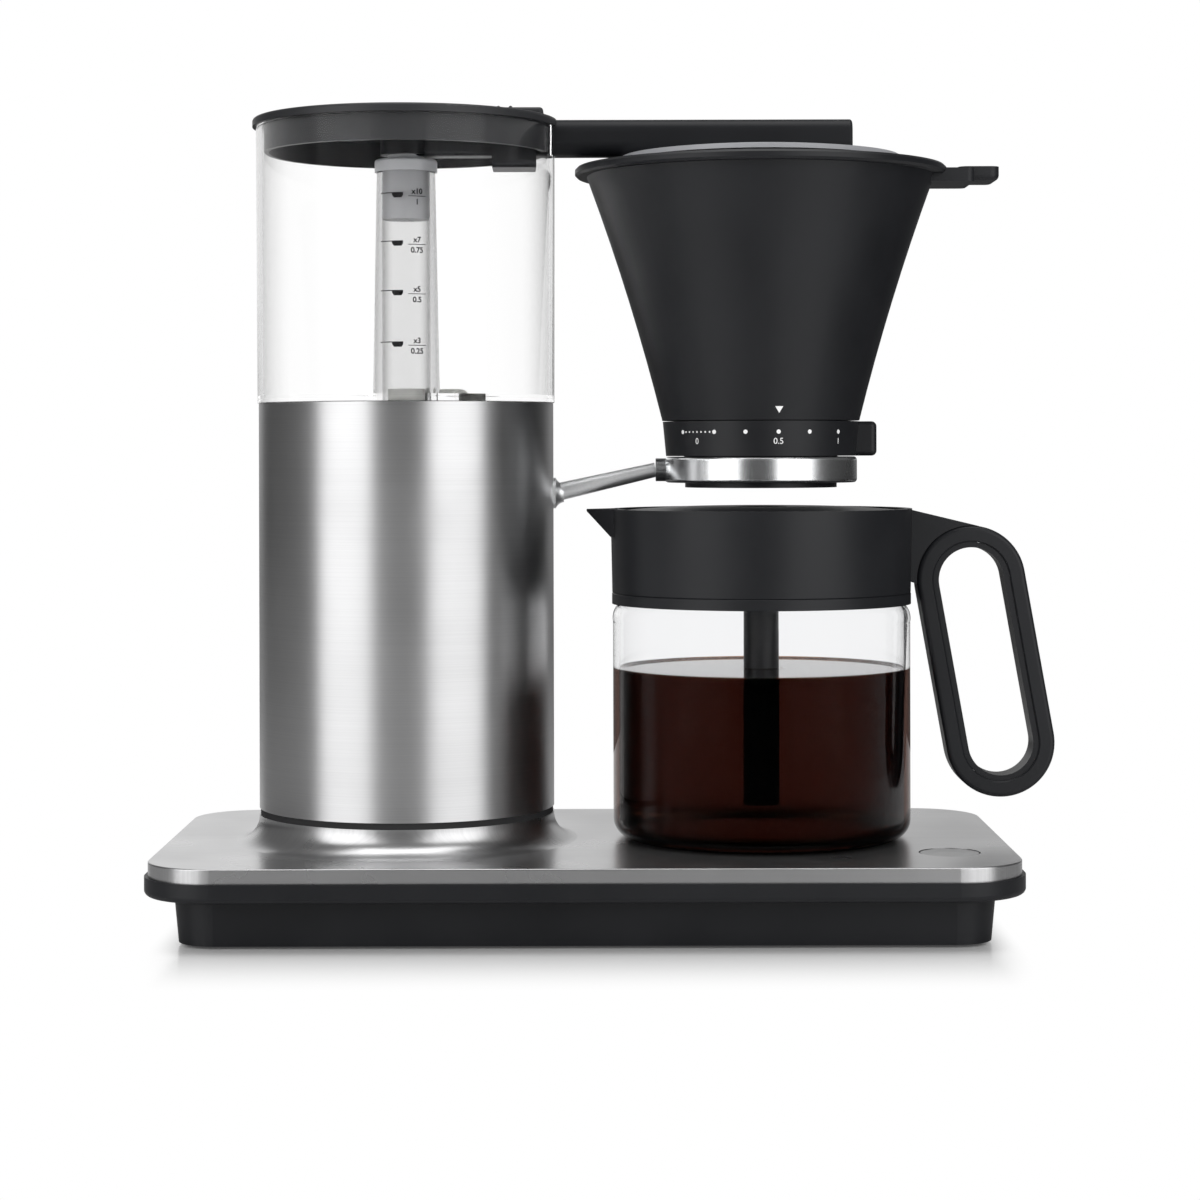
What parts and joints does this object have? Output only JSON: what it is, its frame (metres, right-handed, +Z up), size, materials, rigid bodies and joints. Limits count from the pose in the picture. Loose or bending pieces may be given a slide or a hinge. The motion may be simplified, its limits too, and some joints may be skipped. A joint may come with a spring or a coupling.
{
  "type": "drip coffee maker",
  "caption": "Filter coffee maker: steel tower with a clear lift-off water tank and spray arm, filter cone with drip-stop dial on a ring, and a glass jug on a low heated base.",
  "frame": {"origin": "middle of the whole machine's outer box, on the table", "axes": "+Z up, +X from the tower towards the jug's handle, +Y to the back"},
  "size_m": [0.3817, 0.19, 0.3487],
  "materials": {
    "black_plastic": "satin moulded plastic",
    "brushed_steel": "fine brushed stainless steel",
    "polished_metal": "polished metal",
    "clear_plastic": "clear moulded plastic",
    "jug_glass": "clear borosilicate glass",
    "grey_plastic": "grey moulded plastic",
    "black_rubber": "matt rubber",
    "silicone": "pale silicone",
    "aluminium": "cast aluminium",
    "zinc_steel": "zinc plated steel",
    "white_plastic": "white moulded plastic",
    "board": "printed circuit board"
  },
  "bodies": {
    "machine": {"base_housing": "black_plastic", "bottom_cover": "black_plastic", "rubber_feet": "black_rubber", "bottom_screws": "zinc_steel", "cord_gland": "black_plastic", "top_plate": "brushed_steel", "tower_foot_ring": "zinc_steel", "tower_seal": "black_rubber", "tower_shell": "brushed_steel", "tank_seat": "black_plastic", "riser_nipple": "white_plastic", "filter_ring": "polished_metal", "ring_liner": "black_plastic", "ring_arm": "polished_metal", "arm_saddle": "zinc_steel", "arm_nut": "zinc_steel", "hotplate_disc": "aluminium", "hotplate_element": "zinc_steel", "hotplate_clamp": "zinc_steel", "hotplate_thermostat": "zinc_steel", "button_guide": "black_plastic", "micro_switch": "black_plastic", "control_board": "board", "terminal_block": "white_plastic", "boiler_body": "aluminium", "boiler_element": "zinc_steel", "boiler_bracket": "zinc_steel", "boiler_thermostat": "zinc_steel", "thermal_fuse": "white_plastic", "check_valve_body": "white_plastic", "inlet_hose": "silicone", "outlet_hose": "silicone", "hose_clamps": "zinc_steel"},
    "tank": {"water_tank": "clear_plastic", "tank_strainer": "grey_plastic", "riser_plug": "grey_plastic", "riser_cap": "grey_plastic", "arm_socket": "black_plastic", "spray_arm": "black_plastic", "shower_disc": "grey_plastic"},
    "tank_lid": {"tank_lid": "black_plastic"},
    "filter_holder": {"filter_cone": "black_plastic", "hub_seal": "silicone", "valve_rivet": "grey_plastic"},
    "drip_dial": {"drip_dial": "black_plastic", "valve_disc": "grey_plastic"},
    "jug": {"jug_glass": "jug_glass", "jug_band": "black_plastic", "jug_seal": "silicone", "jug_collar": "black_plastic", "jug_handle": "black_plastic", "handle_liner": "black_plastic"},
    "jug_lid": {"jug_lid": "black_plastic", "mixing_tube": "black_plastic"},
    "power_button": {"power_button": "brushed_steel"},
    "check_ball": {"check_ball": "white_plastic"}
  },
  "joints": [
    {"name": "tank_lift", "type": "slide", "parent": "machine", "child": "tank", "axis": [0, 0, 1], "range_m": [0, 0.11]},
    {"name": "tank_lid_lift", "type": "slide", "parent": "tank", "child": "tank_lid", "axis": [0, 0, 1], "range_m": [0, 0.06]},
    {"name": "filter_holder_lift", "type": "slide", "parent": "machine", "child": "filter_holder", "axis": [0, 0, 1], "range_m": [0, 0.004]},
    {"name": "drip_dial_turn", "type": "hinge", "parent": "filter_holder", "child": "drip_dial", "pos_m": [0.06515, 0, 0.2059], "axis": [0, 0, 1], "range_deg": [-43, 61]},
    {"name": "jug_slide", "type": "slide", "parent": "machine", "child": "jug", "axis": [0, -1, 0], "range_m": [0, 0.19]},
    {"name": "jug_lid_turn", "type": "hinge", "parent": "jug", "child": "jug_lid", "pos_m": [0.06515, 0, 0.1758], "axis": [0, 0, 1], "range_deg": [0, 60]},
    {"name": "power_button_press", "type": "slide", "parent": "machine", "child": "power_button", "axis": [0, 0, -1], "range_m": [0, 0.0015], "stiffness_N_per_m": 800},
    {"name": "check_ball_lift", "type": "slide", "parent": "machine", "child": "check_ball", "axis": [0, 0, 1], "range_m": [0, 0.003]}
  ]
}
